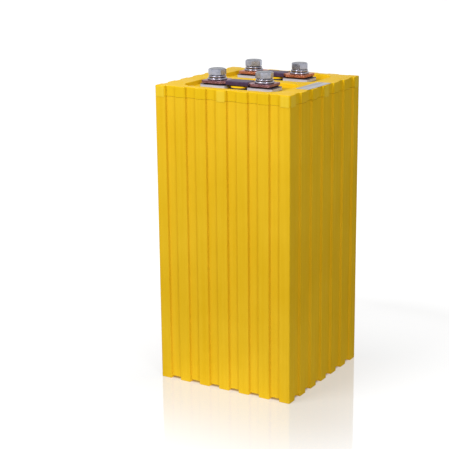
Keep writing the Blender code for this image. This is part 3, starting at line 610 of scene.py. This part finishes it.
def lid_mesh():
    play, lead_in, wall = TONGUE_PLAY, TONGUE_PLAY + 0.5, TONGUE_PLAY + TONGUE_WALL
    land, tongue, slim, hollow = (onto_rectangle(PLAN, INNER_X - inset, INNER_Y - inset, INNER_RADIUS)
                                  for inset in (0.0, play, lead_in, wall))
    rings = [at_height(hollow, PLATE_UNDER), at_height(hollow, TONGUE_LOW), at_height(slim, TONGUE_LOW),
             at_height(tongue, TONGUE_LEAD_IN), at_height(tongue, SEAM_HIGH)]
    rings += [plan_ring(0.2, SEAM_HIGH), plan_ring(0.06, SEAM_HIGH + 0.06), plan_ring(0.0, SEAM_HIGH + 0.2)]
    rings += [plan_ring(0.0, TOP - 0.8), plan_ring(0.1, TOP - 0.4), plan_ring(0.35, TOP - 0.12)]
    rings += [plan_ring(0.8, TOP), at_height(land, TOP)]
    shape = bmesh.new()
    loft(shape, rings, start=PLATE_UNDER, end=TOP)
    solid = finish_mesh("lid_solid", shape)
    tools = [pocket_tool(row) for _, row in ROWS.values()]
    pole_hole = [(0, 410), (POLE_HOLE, 410), (POLE_HOLE, 420), (0, 420)]
    for _, row in ROWS.values():
        for side in SIDES.values():
            tools.append(turned("hole", pole_hole, (side * POLE_X, row * POLE_Y), closed=False))
    valve_bore = [(0, 430), (8.2, 430), (8.2, 424.2), (7.3, 423.3), (7.3, 415.8), (3.0, 415.8), (3.0, 412),
                  (0, 412)]
    tools.append(turned("bore", valve_bore, closed=False))
    return cut("lid_moulding", solid, tools)


piece("case_moulding", case_mesh(), YELLOW, ["case"])
piece("lid_moulding", lid_mesh(), YELLOW_LID, ["lid"])
# The pads' paler yellow is a painted highlight.
piece("lid_pads", lid_pad_mesh(), YELLOW_TAB_PAINTED_HIGHLIGHT)


# ------------------------------------------------------------------ poles, links and bolts
def pad_mesh(name, centre):
    outline = rounded_box_outline(PAD_X, PAD_Y, PAD_RADIUS, 6, centre)
    shape = extruded(name, outline, PAD_LOW, PAD_HIGH, 0.6, [hole_outline(BOLT_HOLE, centre)])
    return finish_mesh(name, shape)


def link_plan(row, grow, shift):
    """Plan of one foil of a link: square ends with round corners, drawn in to a neck."""
    half, width, neck = LINK_X + grow, LINK_Y + grow, LINK_NECK + grow
    quarter = [(half, width, 2.5, 4), (LINK_SHOULDER, width, 3.0, 4), (LINK_THROAT, neck, 3.0, 4)]
    corners = quarter + [(-x, y, r, n) for x, y, r, n in reversed(quarter)]
    corners += [(-x, -y, r, n) for x, y, r, n in corners]
    outline = fillet([(x + shift, y + row * POLE_Y, r, n, None) for x, y, r, n in reversed(corners)])
    outline = [(x, y) for x, y, _ in outline]
    area = sum(a[0] * b[1] - b[0] * a[1] for a, b in zip(outline, outline[1:] + outline[:1]))
    return outline if area > 0 else outline[::-1]


# How much each foil of a link, from the lowest up, is larger than the plan and moved along it.
FOIL_STAGGER = ((-1.6, 0.0), (-1.2, 0.18), (0.05, -0.1), (-0.08, 0.12), (0.06, -0.2), (-0.1, 0.08),
                (0.0, 0.0))


def link_mesh(name, row):
    """A stack of foils, each a little out of line with the next."""
    shape = bmesh.new()
    pitch = (LINK_HIGH - LINK_LOW) / len(FOIL_STAGGER)
    gap, bevel = 0.03, 0.14
    holes = [hole_outline(BOLT_HOLE, (side * POLE_X, row * POLE_Y)) for side in SIDES.values()]
    for number, (grow, shift) in enumerate(FOIL_STAGGER):
        low = LINK_LOW + pitch * number
        extruded(name, link_plan(row, grow, shift), low, low + pitch - gap, bevel, holes, 1, shape)
    return finish_mesh(name, shape)


def sleeve_mesh(name, row):
    """Shrunk tube over the neck: it bears on the foils' edges and gathers at its ends."""
    middle = (LINK_LOW + LINK_HIGH) / 2
    rings = []
    outer_steps = 26
    for step in range(outer_steps + 1):
        x = SLEEVE_END * (2 * step / outer_steps - 1)
        edge = min(1.0, (SLEEVE_END - abs(x)) / 1.2)
        swell = 0.12 * math.sin(x * 0.55 + row) + 0.08 * math.sin(x * 1.3)
        grow = 0.55 + 0.35 * edge + 0.18 * swell
        rings.append((x, LINK_NECK + grow, 2.5 + 0.75 * grow, 1.5))
    for x in (SLEEVE_END - 0.05, 0.05 - SLEEVE_END):
        rings.append((x, LINK_NECK + 0.4, 2.75, 1.0))
    loops = []
    for x, half_y, half_z, radius in rings:
        section = rounded_box_outline(half_y, half_z, radius, 4)
        loops.append([(x, row * POLE_Y + y, middle + z) for y, z in section])
    shape = bmesh.new()
    loft(shape, loops, loop=True)
    return finish_mesh(name, shape, 50)


def hexagon(theta):
    """Distance from the axis to the head's edge in a direction, its corners worn round."""
    folded = (theta + math.pi / 6) % (math.pi / 3) - math.pi / 6
    return min(HEAD_CORNER, HEAD_FLATS / 2 / math.cos(math.pi / 6 - abs(folded)))


def bolt_mesh(name, centre, turn):
    """Threaded shank, washer face, hexagon with a 30 degree chamfer and a shallow dished top."""
    count = 48
    thetas = [2 * math.pi * k / count for k in range(count)]
    start = math.radians(turn)

    def ring(radius_at, height_at):
        made = []
        for theta in thetas:
            radius, angle = radius_at(theta), theta + start
            made.append((centre[0] + radius * math.cos(angle), centre[1] + radius * math.sin(angle),
                         height_at(theta)))
        return made

    def flat_ring(radius, height):
        return ring(lambda theta: radius, lambda theta: height)

    pitch, depth, thread_radius, shank_radius = 2.0, 0.55, 6.95, 6.9
    tip, thread_low, thread_high = 405.7, 406.8, 427.0
    crown, face, dish = 10.4, 10.5, 0.34
    slope = math.tan(math.radians(30))

    def chamfer(theta):
        return HEAD_HIGH - (hexagon(theta) - crown) * slope

    rings = [flat_ring(5.2, tip + 0.05), flat_ring(6.1, tip + 0.5)]
    height = thread_low
    while height < thread_high:
        def groove(theta, z=height):
            phase = (z / pitch - theta / (2 * math.pi)) % 1.0
            return thread_radius - 2 * depth * abs(2 * phase - 1)
        rings.append(ring(groove, lambda theta, z=height: z))
        height += pitch / 4
    rings += [flat_ring(shank_radius, thread_high + 1.0), flat_ring(shank_radius, HEAD_LOW - 0.6)]
    rings += [flat_ring(7.3, HEAD_LOW), flat_ring(face - 0.2, HEAD_LOW)]
    rings += [flat_ring(face, HEAD_LOW + 0.15), flat_ring(face, HEAD_LOW + 0.5)]
    rings.append(ring(lambda theta: hexagon(theta) - 0.3, lambda theta: HEAD_LOW + 0.52))
    rings.append(ring(hexagon, lambda theta: HEAD_LOW + 0.85))
    rings.append(ring(hexagon, lambda theta: chamfer(theta) - 0.12))
    rings.append(ring(lambda theta: hexagon(theta) - 0.12, lambda theta: chamfer(theta) + 0.02))
    for radius, below in ((crown, 0.08), (crown - 0.3, 0.0), (9.1, 0.0), (8.7, 0.12), (8.2, 0.3),
                          (4.0, dish)):
        rings.append(flat_ring(radius, HEAD_HIGH - below))
    shape = bmesh.new()
    loft(shape, rings, start=tip, end=HEAD_HIGH - dish)
    return finish_mesh(name, shape, 30)


def spring_washer_mesh(name, centre, turn):
    """Split ring of square wire, its two ends a little out of line at the slit."""
    steps = 64
    section = ((11.4, 0.0), (11.85, 0.2), (12.0, 0.6), (12.0, 1.6), (11.9, 2.05), (11.6, 2.42),
               (11.15, 2.62), (10.7, 2.65), (7.8, 2.6), (7.4, 2.3), (7.4, 0.35), (7.7, 0.05))
    slit = math.radians(8)
    rings = []
    for step in range(steps + 1):
        share = step / steps
        theta = math.radians(turn + 100) + slit / 2 + (2 * math.pi - slit) * share
        low = SPRING_WASHER_LOW + SPRING_WASHER_RISE * share
        rings.append([(centre[0] + r * math.cos(theta), centre[1] + r * math.sin(theta), low + z)
                      for r, z in section])
    shape = bmesh.new()
    loft(shape, rings, start="middle", end="middle")
    return finish_mesh(name, shape)


def flat_washer_mesh(name, centre):
    low, high = FLAT_WASHER_LOW, FLAT_WASHER_HIGH
    profile = [(12.1, high), (12.65, 432.0), (13.1, 431.7), (13.4, 431.25), (13.5, 430.7), (13.5, 430.0),
               (13.3, 429.7), (13.0, low), (7.8, low), (7.5, 429.9), (7.5, 431.8), (7.8, high)]
    return turned(name, profile, centre, 64)


for row_name, (polarity, row) in ROWS.items():
    copper = COPPER_FRONT if row_name == "front" else COPPER_BACK
    name = f"{polarity}_link_foils"
    piece(name, link_mesh(name, row), copper, [f"{polarity}_link"])
    name = f"{polarity}_sleeve_tube"
    piece(name, sleeve_mesh(name, row), SLEEVE, [f"{polarity}_link_sleeve"])
    for side_name, side in SIDES.items():
        spot = (side * POLE_X, row * POLE_Y)
        turn = BOLT_TURNS[row_name, side_name]
        tail = f"{row_name}_{side_name}"
        # The bolt head's top, above HEAD_HIGH - 0.5, is darkened: painted shade.
        steel = turned_metal(f"zinc_bolt_{tail}", (0.26, 0.275, 0.335), (0.46, 0.475, 0.57), 0.28, spot,
                             HEAD_HIGH - 0.5)
        # The washers' zinc is darker than the bolts': painted shade for the dark things they reflect.
        washer_steel_painted_dark = turned_metal(f"zinc_washer_painted_dark_{tail}", (0.20, 0.19, 0.23), (0.36, 0.35, 0.41), 0.22, spot)
        name = f"contact_block_{tail}"
        piece(name, pad_mesh(name, spot), PLATED, [f"{polarity}_contact_pad_{side_name}"])
        name = f"flat_washer_ring_{tail}"
        piece(name, flat_washer_mesh(name, spot), washer_steel_painted_dark, [f"flat_washer_{tail}"])
        name = f"spring_washer_ring_{tail}"
        piece(name, spring_washer_mesh(name, spot, turn), washer_steel_painted_dark,
              [f"spring_washer_{tail}"])
        name = f"hex_bolt_{tail}"
        piece(name, bolt_mesh(name, spot, turn), steel, [f"bolt_{tail}"])


# A round black ring with a moulded yellow cap stands in the pocket under each link's neck. a rubber ring
# with a moulded cap.
REST_RING = [(0, 418.6), (13.5, 418.6), (13.8, 418.8), (13.8, 420.9), (13.5, 421.1), (0, 421.1)]
REST_CAP = [(0, 421.15), (13.2, 421.15), (13.5, 421.3), (13.5, 422.5), (13.3, 422.9), (12.8, 423.15),
            (0, 423.25)]
for polarity, row in ROWS.values():
    centre = (0.0, row * POLE_Y)
    name = f"{polarity}_neck_rest_ring"
    piece(name, turned(name, REST_RING, centre, closed=False), BLACK_RUBBER)
    name = f"{polarity}_neck_rest_cap"
    piece(name, turned(name, REST_CAP, centre, closed=False), YELLOW_LID)


# ------------------------------------------------------------------ valve cap and label
def valve_cap_mesh():
    profile = [(0, 425.9), (6.6, 425.9), (8.0, 425.75), (8.4, 425.45), (8.5, 425.0), (8.5, 424.5),
               (8.3, 424.3), (7.0, 424.3), (7.0, 419.3), (6.8, 419.0), (6.0, 419.0), (5.8, 419.3),
               (5.8, 422.3), (2.5, 422.3), (2.5, 424.0), (0, 424.0)]
    cap = turned("valve_cap_moulding", profile, closed=False)
    vents, vent_circle = 3, 4.2
    vent = [(0, 428), (0.9, 428), (0.9, 421), (0, 421)]
    tools = []
    for number in range(vents):
        angle = math.radians(82.5 + 360 / vents * number)
        spot = (vent_circle * math.cos(angle), vent_circle * math.sin(angle))
        tools.append(turned("vent", vent, spot, 20, closed=False))
    return cut("valve_cap_moulding", cap, tools)


def valve_spring_mesh(low, high):
    """Coil of round wire between two heights."""
    radius, wire, turns = 3.6, 0.25, 3          # radius of the coil and of its wire
    steps, sides = 32 * turns, 12
    rings = []
    for step in range(steps + 1):
        share = step / steps
        theta = 2 * math.pi * turns * share
        height = low + wire + (high - low - 2 * wire) * share
        ring = []
        for k in range(sides):
            around = 2 * math.pi * k / sides
            reach = radius + wire * math.cos(around)
            ring.append((reach * math.cos(theta), reach * math.sin(theta),
                         height + wire * math.sin(around)))
        rings.append(ring)
    shape = bmesh.new()
    loft(shape, rings, start="middle", end="middle")
    return finish_mesh("valve_spring_coil", shape)


def label_mesh():
    outline = rounded_box_outline(*LABEL_HALF, LABEL_RADIUS, 6, LABEL_PLACE)
    shape = extruded("blank_foil_label", outline, TOP + 0.04, TOP + 0.36, 0.06, steps=1)
    return finish_mesh("blank_foil_label", shape)


piece("valve_cap_moulding", valve_cap_mesh(), YELLOW_LID, ["valve_cap"])
piece("blank_foil_label", label_mesh(), LABEL, ["blank_label"])

# The coil fills the CAD spring's heights and has a mesh of its own; the real spring shortens under the cap
# as the poppet lifts against it.
SPRING_LOW, SPRING_HIGH = (corner[2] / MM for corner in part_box("valve_spring"))
spring = piece("valve_spring_coil", valve_spring_mesh(SPRING_LOW, SPRING_HIGH), SPRING_STEEL,
               ["valve_spring"])
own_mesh(spring)

# ------------------------------------------------------------------ pieces kept from the CAD
KEPT = {
    "lid_seal": BLACK_RUBBER, "valve_poppet": BLACK_RUBBER, "insulating_wrap": FILM,
    "top_spacer": GREY_PLASTIC, "base_pad": GREY_PLASTIC, "positive_collector_bar": ALUMINIUM,
    "negative_collector_bar": COPPER,
}
for node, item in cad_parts.items():
    if item.hide_render:
        continue
    material = KEPT.get(node)
    if material is None:
        if "electrode" in node:
            material = ELECTRODES
        elif "seal" in node:
            material = BLACK_RUBBER
        elif "tabs" in node:
            material = ALUMINIUM_FOILS if "positive" in node else COPPER_FOILS
        else:
            material = ALUMINIUM if "positive" in node else COPPER
    item.data.materials.clear()
    item.data.materials.append(material)

# ------------------------------------------------------------------ floor, light and camera
FLOOR_HALF = 6.0
FLOOR_DROP = 0.1 * MM           # keeps the floor clear of the feet


def floor_material():
    """Pale floor, polished near the cell, which turns white further off, and which glows before the cell's
    front and back to light it: painted light.
    """
    shader = Shader("pale_floor", 0.06, Coat_IOR=2.0, Coat_Roughness=0.03,
                    Emission_Color=(1.0, 1.0, 1.0, 1.0))
    shader.colour(shader.blend(shader.noise(3.0, 2.0), (0.27, 0.27, 0.27), (0.29, 0.29, 0.29)))
    away = shader.distance_outside(HALF_X * MM, HALF_Y * MM)
    polish = shader.span(away, 1.0, 0.0, 0.03, 0.25, "SMOOTHSTEP")
    shader.join(shader.math("MULTIPLY", polish, 0.5), shader.principled.inputs["Specular IOR Level"])
    shader.join(polish, shader.principled.inputs["Coat Weight"])

    # What the camera and mirrors see: dark under the cell, pale beside it and white further off.
    within = shader.distance_outside((HALF_X - 10.0) * MM, (HALF_Y - 10.0) * MM)
    open_air = shader.span(within, 0.12, 1.0, 3.5 * MM, 8.0 * MM)
    seen = shader.math("MULTIPLY", shader.span(away, 0.57, 1.0, 0.0, 0.4), open_air)

    # What lights the cell: the floor glows before its front and its back, not beside it, as painted light
    # that no camera or mirror sees.
    beside = shader.distance_outside((HALF_X - 22.0) * MM, 0.3)
    floor_glow_light = shader.math("MULTIPLY", shader.span(away, 0.7, 0.0, 0.0, 0.16),
                         shader.span(beside, 1.0, 0.0, 0.0, 0.03))

    strength = shader.node("ShaderNodeMapRange")
    shader.join(backdrop_rays(shader.tree), strength.inputs["Value"])
    shader.join(floor_glow_light, strength.inputs["To Min"])
    shader.join(seen, strength.inputs["To Max"])
    shader.join(strength.outputs["Result"], shader.principled.inputs["Emission Strength"])
    return shader.material


floor_shape = bmesh.new()
bmesh.ops.create_grid(floor_shape, x_segments=1, y_segments=1, size=FLOOR_HALF)
floor_mesh = bpy.data.meshes.new("floor")
floor_shape.to_mesh(floor_mesh)
floor_shape.free()
floor_mesh.materials.append(floor_material())
floor = bpy.data.objects.new("floor", floor_mesh)
floor.location.z = -FLOOR_DROP
bpy.context.scene.collection.objects.link(floor)

# The world is white where it is seen, and lights the cell at a lower level.
world = bpy.data.worlds.new("studio")
bpy.context.scene.world = world
world.use_nodes = True
tree = world.node_tree
background = tree.nodes["Background"]
background.inputs["Color"].default_value = (1.0, 1.0, 1.0, 1.0)
level = tree.nodes.new("ShaderNodeMapRange")
level.inputs["To Min"].default_value = 0.25
level.inputs["To Max"].default_value = 1.0
tree.links.new(backdrop_rays(tree), level.inputs["Value"])
tree.links.new(level.outputs["Result"], background.inputs["Strength"])


LAMP_AIM = Vector((0.0, 0.0, 0.22))


def softbox(name, azimuth, elevation, distance, size, power):
    """Square lamp. Its azimuth runs from the front towards the right, in degrees."""
    light = bpy.data.lights.new(name, "AREA")
    light.shape = "SQUARE"
    light.size = size
    light.energy = power
    holder = bpy.data.objects.new(name, light)
    bpy.context.scene.collection.objects.link(holder)
    turn, rise = math.radians(azimuth), math.radians(elevation)
    way = Vector((math.sin(turn) * math.cos(rise), -math.cos(turn) * math.cos(rise), math.sin(rise)))
    holder.location = LAMP_AIM + way * distance
    holder.rotation_euler = way.to_track_quat("Z", "Y").to_euler()


softbox("key", -23.0, 48.0, distance=1.6, size=0.64, power=19.1)
softbox("side_fill", 53.0, 33.0, distance=2.2, size=0.6, power=17.5)

# The camera stands where the photograph's did, and its turn, tilt and roll give its axes.
CAMERA_PLACE = (0.8533, -1.4974, 0.6768)
CAMERA_LENS, CAMERA_SENSOR = 99.92, 36.0
azimuth, elevation, roll = math.radians(31.343), math.radians(14.941), math.radians(-0.633)
forward = Vector((-math.sin(azimuth) * math.cos(elevation), math.cos(azimuth) * math.cos(elevation),
                  -math.sin(elevation)))
level_right = Vector((math.cos(azimuth), math.sin(azimuth), 0.0))
level_up = level_right.cross(forward)
right = level_right * math.cos(roll) + level_up * math.sin(roll)
up = level_up * math.cos(roll) - level_right * math.sin(roll)
camera = bpy.data.cameras.new("camera")
camera.lens = CAMERA_LENS
camera.sensor_width = CAMERA_SENSOR
viewer = bpy.data.objects.new("camera", camera)
bpy.context.scene.collection.objects.link(viewer)
axes = Matrix((right, up, -forward)).transposed().to_4x4()
viewer.matrix_world = Matrix.Translation(CAMERA_PLACE) @ axes
bpy.context.scene.camera = viewer
bpy.context.scene.view_settings.view_transform = "Standard"
